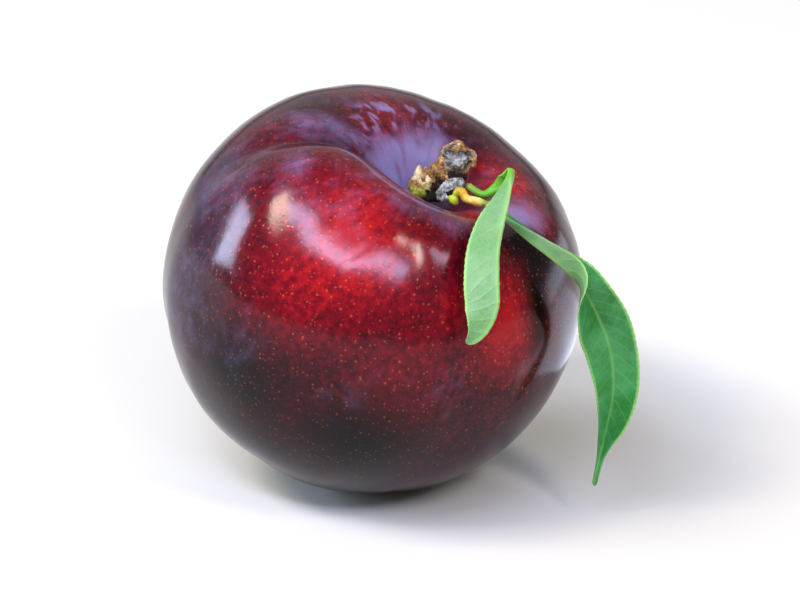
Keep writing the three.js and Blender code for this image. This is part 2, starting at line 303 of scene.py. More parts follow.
# where the bloom is rubbed, and where shade is painted on the skin. A stretch is a row of its polar angle
# and spread, its angle around and spread, and its strength. The numbers of a noise are how fine it is round
# and down
skinWear = {
    # the bloom in the cavity: where it begins to fade and where it ends
    "nearFade": (0.27, 0.41),
    "farFade": (0.31, 0.58),
    "farAround": -0.9,  # the angle around of the far side
    "rubbedWall": ((0.66, -0.3, 0.68), 0.26, 0.8),  # a patch, on the cavity's right wall
    "rubbedNoise": (5, 5, 9),
    "rubbedShare": 0.3,
    # painted shade under the spur: it darkens the skin and takes away the cavity's bloom
    "spurShade": (0.2, 0.13, 1.5, 0.9, 1.0),
    "spurShadeBloom": 0.85,  # the share of the bloom that this stretch lacks
    # the dashes that are left on the far rim
    "farRim": (0.54, 0.13, -0.8, 0.9, 0.86),
    "dashNoise": (9, 9, 13),
    "fineDashNoise": (21, 21, 24),
    "fineDashes": 0.7,
    # a painted highlight: a pale line of the bloom's colour along the near lip's crest
    "crestPolar": 0.34,
    "crestRise": 0.06,  # towards the suture
    "crestWidth": 0.018,
    "crestStrength": 0.6,
    "crestEnds": (0.1, 0.3, 1.9, 2.2),  # angles around where it starts, is whole, fades and ends
    "nearSlope": (0.44, 0.1, 1.7, 1.0, 0.36),
    "besideSuture": (0.66, 0.3, -0.2, 0.2, 0.54),  # its angle around is from the suture's own line
    "shoulder": ((0.78, -0.34, 0.53), 0.2, 0.92),  # a patch above the side leaf, cut off along a line where the leaf's painted shadow begins
    "shoulderSlope": 0.9,
    "shoulderEdge": (0.05, 0.25),
    # the side leaf's painted shadow: how far right, up and to the front, each with its spread or edge
    "leafShadeRight": (0.8, 0.07),
    "leafShadeUp": (0.2, 0.45),
    "leafShadeFront": (0.2, 0.4),
}


def offSuture(polar, around):
    return wrapped(around - fruit["sutureDrift"] * (polar - 0.5))


def fruitRadius(polar, around):
    # the distance from the fruit's middle to its skin
    f = fruit
    wide = f["halfWidth"] * (1 + f["outOfRound"] * math.cos(2 * (around - f["widestSide"])))
    high = (f["bottomHalf"] + f["topHalf"]) / 2 - (f["bottomHalf"] - f["topHalf"]) / 2 * math.cos(polar)
    across = (abs(math.sin(polar)) / wide) ** f["fullness"]
    along = (abs(math.cos(polar)) / high) ** f["fullness"]
    radius = (across + along) ** (-1 / f["fullness"])
    off = offSuture(polar, around)  # as an angle
    fromSuture = off * math.sin(polar) * radius  # and in mm

    mouth = f["cavityMouth"] * (1 + f["cavityTail"] * bell(off, f["tailSpread"]))
    mouth *= 1 + f["cavityLean"] * math.cos(around - f["farSide"])
    radius -= f["cavityDepth"] / (1 + (polar / mouth) ** f["cavityWall"])

    grooveDepth = f["sutureRest"] + f["sutureDepth"] * bell(polar - f["deepestPolar"], f["deepestSpread"])
    grooveWidth = f["sutureWidth"] + f["sutureWidening"] * min(polar / f["sutureWidest"], 1)
    radius -= grooveDepth * bell(fromSuture, grooveWidth) * min(polar / f["sutureStart"], 1)
    step = f["cheekStep"] * math.tanh(f["stepSharpness"] * off)
    radius += step * bell(polar - f["stepPolar"], f["stepSpread"]) * bell(off, f["stepReach"])
    roll = f["rollHeight"] * bell(off - f["rollAround"], f["rollSpread"])
    radius += roll * bell(polar - f["rollPolar"], f["rollSpread"])
    lip = f["lipHeight"] * bell(polar - f["lipPolar"], f["lipSpread"])
    radius += lip * bell(wrapped(around - f["nearSide"]), f["nearSpread"])
    return radius - f["dimpleDepth"] * bell(math.pi - polar, f["dimpleSpread"])


def patch(direction, middle, spread, strength):
    return bell(direction.angle(Vector(middle)), spread) * strength


def stretch(polar, around, middle, spread, side, sideSpread, strength):
    return bell(polar - middle, spread) * bell(wrapped(around - side), sideSpread) * strength


def cavityBloom(direction, polar, around, ring):
    # whole in the cavity, but for its right wall, and taken away under the spur as painted shade
    wear = skinWear
    farness = smooth(math.cos(around - wear["farAround"]), -0.2, 0.8)
    begins, ends = [near + (far - near) * farness for near, far in zip(wear["nearFade"], wear["farFade"])]
    rubbed = smooth(noise.noise(ring * Vector(wear["rubbedNoise"])), -0.1, 0.5)
    bloom = 1 - smooth(polar, begins, ends)
    bloom *= 1 - patch(direction, *wear["rubbedWall"])
    bloom *= 1 - wear["spurShadeBloom"] * stretch(polar, around, *wear["spurShade"])
    return bloom * (1 - wear["rubbedShare"] * rubbed)


def skinMarks(direction, polar, around, ring):
    # blush, bloom and painted shade, each from 0 to 1
    wear = skinWear
    strongest = {
        name: max(patch(direction, *row) for row in rows) for name, rows in skinPatches.items()
    }

    # past the cavity the bloom is worn into dashes on the far rim, and is left down the slope inside the
    # near lip, beside the suture, and on the right shoulder; a painted highlight runs as a pale line along
    # the lip's crest
    dashes = noise.noise(ring * Vector(wear["dashNoise"]) + Vector((0, 0, 3)))
    dashes += wear["fineDashes"] * noise.noise(ring * Vector(wear["fineDashNoise"]))
    dashes = smooth(dashes, -0.4, 0.6) * stretch(polar, around, *wear["farRim"])
    # painted highlight along the near lip's crest
    starts, whole, fades, ends = wear["crestEnds"]
    crestPolar = wear["crestPolar"] + wear["crestRise"] / max(around, starts)
    crest = wear["crestStrength"] * bell(polar - crestPolar, wear["crestWidth"])
    crest *= smooth(around, starts, whole) * (1 - smooth(around, fades, ends))
    slope = stretch(polar, around, *wear["nearSlope"])
    besideSuture = stretch(polar, offSuture(polar, around), *wear["besideSuture"])
    shoulder = patch(direction, *wear["shoulder"])
    # the shoulder's bloom stops where the side leaf's painted shadow begins
    shoulder *= smooth(direction.z + wear["shoulderSlope"] * direction.y, *wear["shoulderEdge"])
    cavity = cavityBloom(direction, polar, around, ring)
    bloom = max(strongest["bloom"], cavity, dashes, crest, slope, besideSuture, shoulder)

    # painted shade: darker under the spur and along the side leaf's shadow, and in the patches above
    right, rightSpread = wear["leafShadeRight"]
    up, upSpread = wear["leafShadeUp"]
    leafShade = bell(direction.x - right, rightSpread) * bell(direction.z - up, upSpread)
    leafShade *= smooth(-direction.y, *wear["leafShadeFront"])
    paintedShade = max(strongest["paintedShade"], leafShade, stretch(polar, around, *wear["spurShade"]))
    return strongest["blush"], bloom, paintedShade


def fruitPlace(down, turn):
    polar = math.pi * (down + fruit["rowCrowding"] * (down * down - down))
    around = turn - fruit["columnCrowding"] * math.sin(turn)
    ring = Vector((math.cos(around), math.sin(around), polar))
    flutes = noise.noise(ring * Vector(fruit["flutes"]))
    spread = Vector((ring.x * math.sin(polar), ring.y * math.sin(polar), math.cos(polar)))
    swells = noise.noise(spread * fruit["swells"] + Vector((3, 1, 7)))
    radius = fruitRadius(polar, around) - fruit["inset"]
    relief = flutes * fruit["fluteDepth"] + swells * fruit["swellDepth"]
    radius += relief * smooth(polar, *fruit["reliefFrom"])
    axis = fruit["stemAxis"]
    side = fruit["sutureSide"]
    outward = side * math.cos(around) + cross(axis, side) * math.sin(around)
    direction = outward * math.sin(polar) + axis * math.cos(polar)
    point = fruit["middle"] + direction * radius
    point.z = (point.z + math.hypot(point.z, fruit["restEdge"])) / 2
    return point, skinMarks(direction, polar, around, ring), ring


def makeFruit(skin):
    mesh = closedForm(fruit["rows"], fruit["columns"], fruitPlace, ("marks", "ring"))
    finishPiece("plumFruit", mesh, "plum_skin", [skin], "fruit")


skinLook = {
    # the colour of the painted shade
    "paintedShadeColour": "#070104",
    "deep": "#2a0a17",
    "wine": "#4a0b19",
    "crimson": "#7c101f",
    "scarlet": "#a41a1f",
    "speck": "#c9783a",
    "bloom": "#8f87b2",
    "patch": 14.0,  # mm
    "blotch": 3.2,
    "streak": 20.0,  # streaks round the fruit, for each radian
    "grain": 1.0,
    "rednessReach": (0.12, 0.05, 0.22),  # how far patches, streaks and grain move the red
    "bloomReach": (0.04, 0.12),  # and how far streaks and blotches move the bloom
    "bloomStart": 0.12,  # less than this doesn't show
    "bloomCover": 0.78,
    "speckSpacing": 0.64,
    "speckSizes": (0.08, 0.42),  # the smallest and the largest radius, as shares of the spacing
    "speckShares": (0.2, 0.48),  # how much of their colour shows on dark skin and on red
    "speckDepth": 0.02,
    "pore": 0.35,
    "poreDepth": 0.03,
    "roughness": (0.16, 0.5),  # where the wax is rubbed smooth, and where the bloom is whole
    "lightDepth": 2.5,  # how far light gets into it
}


def makeSkin():
    # plum skin: a thin wax over deep red cells, so a clear gloss over a dark colour with pale breathing
    # pores, and a matt blue-grey bloom where the wax is whole; painted shade, sheen and a highlight are
    # mixed in
    look = skinLook
    material, tree, shader = newMaterial(
        "plumSkin", IOR=1.38, Subsurface_Weight=0.12, Subsurface_Radius=(1.0, 0.22, 0.12),
        Subsurface_Scale=look["lightDepth"] * mm,
    )
    place = addNode(tree, "TexCoord").outputs["Object"]
    marks = addNode(tree, "Attribute", attribute_name="marks").outputs["Vector"]
    ring = addNode(tree, "Attribute", attribute_name="ring").outputs["Vector"]
    blush, bloom, paintedShade = addNode(tree, "SeparateXYZ", {0: marks}).outputs
    stretched = addNode(tree, "VectorMath", {0: ring, 1: (1.0, 1.0, 0.3)}, operation="MULTIPLY").outputs[0]

    patches = addNode(tree, "TexNoise", {
        "Vector": place, "Scale": perMetre(look["patch"]), "Detail": 3.0, "Roughness": 0.5,
    }).outputs["Fac"]
    streaks = addNode(tree, "TexNoise", {
        "Vector": stretched, "Scale": look["streak"], "Detail": 3.0, "Roughness": 0.6,
    }).outputs["Fac"]
    blotches = addNode(tree, "TexNoise", {
        "Vector": place, "Scale": perMetre(look["blotch"]), "Detail": 4.0, "Roughness": 0.55,
    }).outputs["Fac"]
    grain = addNode(tree, "TexNoise", {
        "Vector": place, "Scale": perMetre(look["grain"]), "Detail": 2.0, "Roughness": 0.7,
    }).outputs["Fac"]

    # pigment: the blush, broken up by patches, streaks and grain, then darkened by the painted shade
    redness = blush
    for pattern, reach in zip((patches, streaks, grain), look["rednessReach"]):
        redness = brokenUp(tree, redness, pattern, reach)
    pigment = addNode(tree, "ValToRGB", {"Fac": redness}, stops=[
        (0.0, look["deep"]), (0.3, look["wine"]), (0.72, look["crimson"]), (1.0, look["scarlet"]),
    ]).outputs["Color"]
    # painted shade: the pigment darkened towards near black
    pigment = addNode(tree, "Mix", {
        0: paintedShade, 6: pigment, 7: linear(look["paintedShadeColour"]),
    }, data_type="RGBA").outputs[2]

    # pale breathing pores, each up to half a millimetre across
    smallest, largest = look["speckSizes"]
    onDark, onRed = look["speckShares"]
    cells = addNode(tree, "TexVoronoi", {"Vector": place, "Scale": perMetre(look["speckSpacing"])})
    size = addNode(tree, "SeparateColor", {0: cells.outputs["Color"]}).outputs[0]
    size = addNode(tree, "MapRange", {"Value": size, 1: 0.0, 2: 1.0, 3: smallest, 4: largest}).outputs[0]
    speck = addNode(tree, "Math", {0: cells.outputs["Distance"], 1: size}, operation="DIVIDE").outputs[0]
    speck = addNode(tree, "MapRange", {
        "Value": speck, 1: 0.0, 2: 1.0, 3: 1.0, 4: 0.0,
    }, interpolation_type="SMOOTHSTEP").outputs[0]
    seen = addNode(tree, "MapRange", {"Value": redness, 1: 0.1, 2: 0.8, 3: onDark, 4: onRed}).outputs[0]
    speckShown = addNode(tree, "Math", {0: speck, 1: seen}, operation="MULTIPLY").outputs[0]
    speckled = addNode(tree, "Mix", {
        0: speckShown, 6: pigment, 7: linear(look["speck"]),
    }, data_type="RGBA").outputs[2]

    # bloom: whole in the cavity, and worn into blotches and faint streaks at its edge; the same colour
    # carries the painted highlight on the lip's crest and the painted sheen and reflections
    waxed = bloom
    for pattern, reach in zip((streaks, blotches), look["bloomReach"]):
        waxed = brokenUp(tree, waxed, pattern, reach)
    waxed = addNode(tree, "MapRange", {
        "Value": waxed, 1: look["bloomStart"], 2: 1.0, 3: 0.0, 4: look["bloomCover"],
    }, interpolation_type="SMOOTHSTEP").outputs[0]
    colour = addNode(tree, "Mix", {
        0: waxed, 6: speckled, 7: linear(look["bloom"]),
    }, data_type="RGBA").outputs[2]
    tree.links.new(colour, shader.inputs["Base Color"])

    smoothest, dullest = look["roughness"]
    rough = addNode(tree, "MapRange", {
        "Value": waxed, 1: 0.0, 2: 0.7, 3: smoothest, 4: dullest,
    }).outputs[0]
    tree.links.new(rough, shader.inputs["Roughness"])

    pores = addNode(tree, "TexNoise", {
        "Vector": place, "Scale": perMetre(look["pore"]), "Detail": 2.0,
    }).outputs["Fac"]
    bump = addNode(tree, "Bump", {
        "Height": pores, "Strength": 0.25, "Distance": look["poreDepth"] * mm,
    }).outputs[0]
    bump = addNode(tree, "Bump", {
        "Height": speck, "Strength": 0.5, "Distance": look["speckDepth"] * mm, "Normal": bump,
    }).outputs[0]
    tree.links.new(bump, shader.inputs["Normal"])
    return material


makeFruit(makeSkin())


leaf = {
    "rows": 360,
    "columns": 96,
    "thickness": 0.34,  # of the blade, in mm; the stalk's is in its stations
    "ribHeight": 0.28,
    "ribWidth": 0.3,
    "veinSpacing": 2.2,
    "veinLean": 0.75,  # side veins run this far forwards for each mm from the rib
    "veinBend": 0.04,  # and bend further towards the tip
    "veinSpread": 0.28,
    "veinHeight": 0.05,
    "veinLag": 0.4,  # the two halves' veins don't meet
    "teethPerStation": 5,
    "toothDepth": 0.13,
    "toothTip": 0.82,  # how far along a tooth its tip is
    "waveHeight": 0.12,
    "wavePace": 2.6,  # radians from station to station
    "waveLag": 2.0,
    "bladeFrom": (1.2, 2.6),  # half widths between which a stalk turns into a blade
    "ribFrom": (0.4, 1.5),
    "foldEase": 0.5,  # the fold is round this far from the rib
    "endRounding": (4, 6),  # foot and tip are rounded over a quarter and a sixth of a station
    "greenFoot": {"leafFront": 10.0, "leafSide": 2.5},  # how far up its foot keeps the stalk's colour
    "greenFade": 3.0,
}
# stations from the cut foot of the leaf's stalk to its tip: the rib's place, where the upper side
# faces, the half widths left and right, the halves' lift from flat in degrees, and the stalk's share
frontLeaf = [
    ((11.4, -5.3, 45.7), (0.0, -0.3, 0.9), 0.55, 0.55, 0, 1.0),
    ((13.7, -6.4, 44.7), (0.0, -0.3, 0.9), 0.5, 0.5, 0, 1.0),
    ((15.4, -6.1, 45.3), (-0.3, -0.6, 0.7), 0.8, 0.75, 10, 0.6),
    ((17.0, -6.6, 47.0), (0.1, -0.9, 0.4), 1.2, 0.9, 10, 0.1),
    ((17.5, -7.3, 48.7), (-0.3, -0.5, -0.8), 0.5, 0.5, 5, 0.2),
    ((17.4, -9.5, 48.1), (-0.6, 0.3, -0.7), 0.8, 0.8, 35, 0.0),
    ((16.9, -13.7, 47.1), (-0.8, 0.3, -0.5), 2.1, 1.8, 58, 0.0),
    ((16.1, -18.3, 45.7), (-0.9, 0.3, -0.3), 3.3, 2.7, 64, 0.0),
    ((15.4, -22.2, 43.5), (-0.9, 0.4, -0.2), 4.0, 3.2, 66, 0.0),
    ((15.3, -25.2, 40.7), (-0.9, 0.4, -0.2), 4.3, 3.5, 66, 0.0),
    ((15.3, -27.0, 37.9), (-0.9, 0.5, -0.1), 4.2, 3.5, 64, 0.0),
    ((14.5, -28.0, 35.6), (-0.8, 0.6, 0.1), 3.7, 3.0, 60, 0.0),
    ((13.1, -28.4, 33.8), (-0.7, 0.6, 0.3), 2.3, 1.9, 48, 0.0),
    ((11.4, -28.1, 32.7), (-0.6, 0.7, 0.4), 0.5, 0.5, 15, 0.0),
]
sideLeaf = [
    ((14.2, -8.2, 44.1), (0.5, 0.1, 0.9), 0.55, 0.55, 0, 1.0),
    ((15.5, -10.0, 44.1), (0.6, 0.2, 0.8), 0.55, 0.55, 0, 1.0),
    ((17.3, -11.9, 43.3), (0.6, 0.2, 0.8), 0.8, 0.8, 25, 0.5),
    ((20.1, -13.5, 41.3), (0.6, 0.3, 0.7), 1.3, 1.3, 52, 0.1),
    ((22.8, -14.1, 39.2), (0.6, 0.3, 0.7), 1.8, 1.8, 62, 0.0),
    ((25.1, -13.8, 36.9), (0.7, 0.1, 0.7), 2.4, 2.5, 62, 0.0),
    ((27.3, -13.1, 33.6), (0.3, -0.8, 0.5), 3.4, 3.6, 40, 0.0),
    ((29.6, -12.3, 28.6), (0.1, -0.9, 0.4), 4.0, 4.1, 22, 0.0),
    ((31.0, -12.3, 24.6), (0.0, -0.9, 0.4), 3.9, 3.7, 20, 0.0),
    ((31.5, -12.7, 20.8), (0.1, -0.9, 0.4), 3.7, 3.3, 22, 0.0),
    ((31.4, -13.2, 17.2), (0.1, -0.9, 0.4), 3.5, 2.6, 28, 0.0),
    ((30.8, -13.8, 13.7), (-0.1, -0.9, 0.4), 3.1, 1.4, 36, 0.0),
    ((30.0, -14.7, 9.4), (-0.4, -0.8, 0.4), 0.8, 0.6, 30, 0.0),
    ((29.1, -15.5, 5.2), (-0.5, -0.8, 0.4), 0.35, 0.35, 15, 0.0),
]


def leafRows(stations):
    # the leaf's frame at each row: its rib, its three directions, widths, fold and length so far
    at, facing = [[Vector(station[k]) for station in stations] for k in (0, 1)]
    left, right, fold, stalk = [[station[k] for station in stations] for k in (2, 3, 4, 5)]
    rows, length = [], 0.0
    for i in range(leaf["rows"] + 1):
        place = i / leaf["rows"] * (len(stations) - 1)
        rib = through(at, place)
        along = heading(at, place).normalized()
        raised = through(facing, place)
        raised = (raised - along * raised.dot(along)).normalized()
        if rows:
            length += (rib - rows[-1]["rib"]).length
        rows.append({
            "rib": rib, "along": along, "up": raised, "side": cross(along, raised),
            "left": through(left, place), "right": through(right, place),
            "fold": math.radians(through(fold, place)), "stalk": clamp(through(stalk, place)),
            "place": place, "length": length,
        })
    return rows


def makeLeaf(name, node, stations, materials):
    rows = leafRows(stations)
    greenFoot = leaf["greenFoot"][name]

    def place(down, turn):
        row = rows[round(down * leaf["rows"])]
        across = 1 - 2 * abs(turn) / math.pi  # from the right margin to the left one
        face = 1 if turn > 0 else -1  # the upper side, then the under side
        half = row["right"] if across > 0 else row["left"]
        blade = smooth(half, *leaf["bladeFrom"])
        tooth = (row["place"] * leaf["teethPerStation"]) % 1
        tooth = tooth ** 0.6 * (1 - smooth(tooth, leaf["toothTip"], 1)) - 0.5
        tooth *= leaf["toothDepth"] * blade
        fromRib = half * abs(across) + tooth * abs(across) ** 8
        vein = row["length"] - leaf["veinLean"] * fromRib - leaf["veinBend"] * fromRib ** 2
        vein /= leaf["veinSpacing"]
        vein = vein if across > 0 else vein + leaf["veinLag"]
        fromVein = (vein - round(vein)) * leaf["veinSpacing"]
        relief = -leaf["veinHeight"] * bell(fromVein, leaf["veinSpread"]) * blade * (1 - abs(across) ** 4)
        wave = math.sin(leaf["wavePace"] * row["place"] + (leaf["waveLag"] if across > 0 else 0))
        relief += leaf["waveHeight"] * wave * across ** 2 * blade

        # a round stalk turns into a thin blade with a rib under it
        foot, tip = leaf["endRounding"]
        ends = clamp(foot * row["place"]) * clamp(tip * (len(stations) - 1 - row["place"]))
        flat = leaf["thickness"] / 2 * (1 - abs(across) ** 12) ** 0.5
        rounded = half * (1 - across * across) ** 0.5
        thick = flat + (rounded - flat) * row["stalk"]
        if face < 0:
            rib = leaf["ribHeight"] * bell(fromRib, leaf["ribWidth"])
            thick += rib * (1 - row["stalk"]) * smooth(half, *leaf["ribFrom"])
        lift = row["fold"] * smooth(fromRib, 0.0, leaf["foldEase"])
        outward = row["side"] * (1 if across > 0 else -1)
        point = row["rib"] + outward * fromRib * math.cos(row["fold"])
        point += row["up"] * fromRib * math.sin(row["fold"])
        normal = row["up"] * math.cos(lift) - outward * math.sin(lift)
        point += normal * (relief + face * thick) * ends
        if ends < 1:
            point = row["rib"] + (point - row["rib"]) * ends ** 0.5
        green = 1 - smooth(row["length"], greenFoot, greenFoot + leaf["greenFade"])
        green *= 1 - smooth(blade, 0.0, 0.5)
        spot = (fromRib if across > 0 else -fromRib, row["length"], vein)
        return point, spot, (blade, green, abs(across))

    mesh = closedForm(leaf["rows"], leaf["columns"], place, ("leafPlace", "leafMarks"))
    finishPiece(name, mesh, "leaf", materials, node)


leafLook = {
    # each side: its colour and a paler one, how strongly the rib, the side veins and the finest veins
    # show, its roughness, and how deep the veins are pressed in or stand up, in mm
    "sides": {
        "leafUpperSide": ("#2a7832", "#4a9658", 0.26, 0.13, 0.06, 0.36, 0.03),
        "leafUnderSide": ("#69965f", "#82a878", 0.5, 0.2, 0.12, 0.5, 0.05),
    },
    "vein": "#a6cc72",
    "stalk": "#6fae2e",
    "foot": "#9a9440",
    "patch": 5.0,  # mm
    "mesh": 0.9,  # the finest veins, mm apart
    "veinWidth": 0.16,
    "ribEdge": (0.12, 0.4),  # the rib's pale line fades over this distance from its middle
    "marginEdge": (0.88, 0.99),  # shares of the half width between which the pale margin appears
    "marginShare": 0.75,
    "stalkShare": 0.85,
    "footLength": (0.3, 2.5),
    "footShare": 0.8,
    "lightDepth": 0.6,  # how far light gets into it
}


def makeLeafSide(name, ground, mottle, ribShare, veinShare, meshShare, roughness, relief):
    # a young leaf: a thin waxy skin over living green, so a soft gloss and some light through it; the
    # under side is paler and duller, with its veins standing up
    look = leafLook
    material, tree, shader = newMaterial(
        name, IOR=1.42, Roughness=roughness, Subsurface_Weight=0.2, Subsurface_Radius=(0.5, 1.0, 0.3),
        Subsurface_Scale=look["lightDepth"] * mm,
    )
    place = addNode(tree, "TexCoord").outputs["Object"]
    spot = addNode(tree, "Attribute", attribute_name="leafPlace").outputs["Vector"]
    fromRib, along, phase = addNode(tree, "SeparateXYZ", {0: spot}).outputs
    marks = addNode(tree, "Attribute", attribute_name="leafMarks").outputs["Vector"]
    blade, green, across = addNode(tree, "SeparateXYZ", {0: marks}).outputs

    patches = addNode(tree, "TexNoise", {
        "Vector": place, "Scale": perMetre(look["patch"]), "Detail": 4.0, "Roughness": 0.6,
    }).outputs["Fac"]
    patches = addNode(tree, "MapRange", {"Value": patches, 1: 0.35, 2: 0.65}).outputs[0]
    colour = addNode(tree, "Mix", {
        0: patches, 6: linear(ground), 7: linear(mottle),
    }, data_type="RGBA").outputs[2]

    # the finest veins part the blade into little fields
    cells = addNode(tree, "TexVoronoi", {
        "Vector": place, "Scale": perMetre(look["mesh"]),
    }, feature="DISTANCE_TO_EDGE").outputs["Distance"]
    fields = addNode(tree, "MapRange", {"Value": cells, 1: 0.0, 2: 0.12, 3: 1.0, 4: 0.0}).outputs[0]
    meshLines = addNode(tree, "Math", {0: fields, 1: meshShare}, operation="MULTIPLY").outputs[0]

    # side veins, from their phase, and the rib, from the distance to it
    offVein = addNode(tree, "Math", {0: phase, 1: 0.5}, operation="ADD").outputs[0]
    offVein = addNode(tree, "Math", {0: offVein}, operation="FRACT").outputs[0]
    offVein = addNode(tree, "Math", {0: offVein, 1: 0.5}, operation="SUBTRACT").outputs[0]
    offVein = addNode(tree, "Math", {0: offVein}, operation="ABSOLUTE").outputs[0]
    width = look["veinWidth"] / leaf["veinSpacing"]
    sideVein = addNode(tree, "MapRange", {
        "Value": offVein, 1: 0.2 * width, 2: width, 3: 1.0, 4: 0.0,
    }, interpolation_type="SMOOTHSTEP").outputs[0]
    sideVein = addNode(tree, "Math", {0: sideVein, 1: blade}, operation="MULTIPLY").outputs[0]
    toRib = addNode(tree, "Math", {0: fromRib}, operation="ABSOLUTE").outputs[0]
    ribEdge, marginEdge, footLength = look["ribEdge"], look["marginEdge"], look["footLength"]
    rib = addNode(tree, "MapRange", {
        "Value": toRib, 1: ribEdge[0], 2: ribEdge[1], 3: 1.0, 4: 0.0,
    }, interpolation_type="SMOOTHSTEP").outputs[0]
    rib = addNode(tree, "Math", {0: rib, 1: ribShare}, operation="MULTIPLY").outputs[0]
    margin = addNode(tree, "MapRange", {
        "Value": across, 1: marginEdge[0], 2: marginEdge[1], 3: 0.0, 4: look["marginShare"],
    }).outputs[0]
    margin = addNode(tree, "Math", {0: margin, 1: blade}, operation="MULTIPLY").outputs[0]
    pale = addNode(tree, "Math", {0: sideVein, 1: veinShare}, operation="MULTIPLY").outputs[0]
    for lines in (meshLines, rib, margin):
        pale = addNode(tree, "Math", {0: pale, 1: lines}, operation="MAXIMUM").outputs[0]
    colour = addNode(tree, "Mix", {
        0: pale, 6: colour, 7: linear(look["vein"]),
    }, data_type="RGBA").outputs[2]

    # the stalk and the blade's narrow foot are a yellower green, brownest where it was joined on
    stem = addNode(tree, "Math", {0: green, 1: look["stalkShare"]}, operation="MULTIPLY").outputs[0]
    colour = addNode(tree, "Mix", {
        0: stem, 6: colour, 7: linear(look["stalk"]),
    }, data_type="RGBA").outputs[2]
    foot = addNode(tree, "MapRange", {
        "Value": along, 1: footLength[0], 2: footLength[1], 3: look["footShare"], 4: 0.0,
    }).outputs[0]
    colour = addNode(tree, "Mix", {
        0: foot, 6: colour, 7: linear(look["foot"]),
    }, data_type="RGBA").outputs[2]
    tree.links.new(colour, shader.inputs["Base Color"])

    raised = addNode(tree, "Math", {0: fields, 1: 0.3}, operation="MULTIPLY").outputs[0]
    raised = addNode(tree, "Math", {0: raised, 1: sideVein}, operation="MAXIMUM").outputs[0]
    bump = addNode(tree, "Bump", {
        "Height": raised, "Strength": 0.6, "Distance": relief * mm,
    }).outputs[0]
    tree.links.new(bump, shader.inputs["Normal"])
    return material


leafSides = [makeLeafSide(name, *look) for name, look in leafLook["sides"].items()]
makeLeaf("leafFront", "leaf_front", frontLeaf, leafSides)
makeLeaf("leafSide", "leaf_side", sideLeaf, leafSides)


# the spur is a stub of old wood that the fruit's stalk and both leaves grow from
spur = {
    "faceSize": 0.1,  # mm
    "turnedGrid": (60, 48),  # rows and columns
    "tubeGrid": (48, 24),
    # how deep each finish is broken up, coarsely and finely, in mm
    "relief": {
        "bark": (0.22, 0.07), "heartBark": (0.25, 0.08), "brokenWood": (0.1, 0.05),
        "budScale": (0.05, 0.02), "leafScar": (0.1, 0.03), "greenShoot": (0.06, 0.015),
    },
    "lumps": 1.3,  # lumps, cracks and grit to each mm
    "cracks": 2.6,
    "grit": 6.5,
    "crackSharpness": 5,
    "twigFoot": (5.0, -4.5, 44.9),
    "twigAxis": (5.0, 1.3, 3.3),
    "knobMiddle": (10.3, -3.5, 48.7),
    "knobAxis": (-0.05, -0.8, 0.6),
    "budFoot": (4.9, -5.1, 44.4),
    "budAxis": (0.35, 1.1, 3.6),
    # the way each ramp of colours runs, in mm: out from the knob's middle, and from a start for a length
    "knobRamp": 2.3,
    "budRamp": (44.0, 3.8),
    "shootRamp": (9.3, 4.4),
    "toneReach": 0.26,  # how far it is broken up
    "grain": 0.2,
    "grainDepth": 0.04,
}
# parts turned round an axis, as pairs of radius and height; lobes is how far their rim goes in and out
spurTurned = {
    "twig": ("bark", "twigFoot", "twigAxis", 0.06, [
        (0, -1.2), (0.9, -1.0), (1.4, -0.3), (1.6, 0.4), (1.25, 0.9), (1.65, 1.4), (1.25, 1.9),
        (1.7, 2.4), (1.3, 2.9), (1.75, 3.4), (1.4, 4.0), (1.75, 4.7), (1.5, 5.4), (1.1, 6.0), (0, 6.3),
    ]),
    "knobCollar": ("bark", "knobMiddle", "knobAxis", 0.09, [
        (0, -2.0), (1.5, -1.8), (2.0, -1.0), (2.2, -0.4), (2.35, 0.1), (2.35, 0.5), (2.2, 0.6),
        (2.0, 0.3), (1.95, 0.0), (1.2, -0.2), (0, -0.2),
    ]),
    "knobFace": ("brokenWood", "knobMiddle", "knobAxis", 0.13, [
        (0, -0.6), (1.7, -0.5), (2.0, 0.1), (2.0, 0.8), (1.7, 1.2), (1.3, 1.15), (0.85, 0.8),
        (0.5, 0.45), (0.25, 0.35), (0, 0.35),
    ]),
    "bud": ("budScale", "budFoot", "budAxis", 0.05, [
        (0, -0.6), (0.9, -0.4), (1.15, 0.4), (1.0, 1.2), (0.8, 2.0), (0.6, 2.8), (0.32, 3.5), (0, 3.85),
    ]),
}
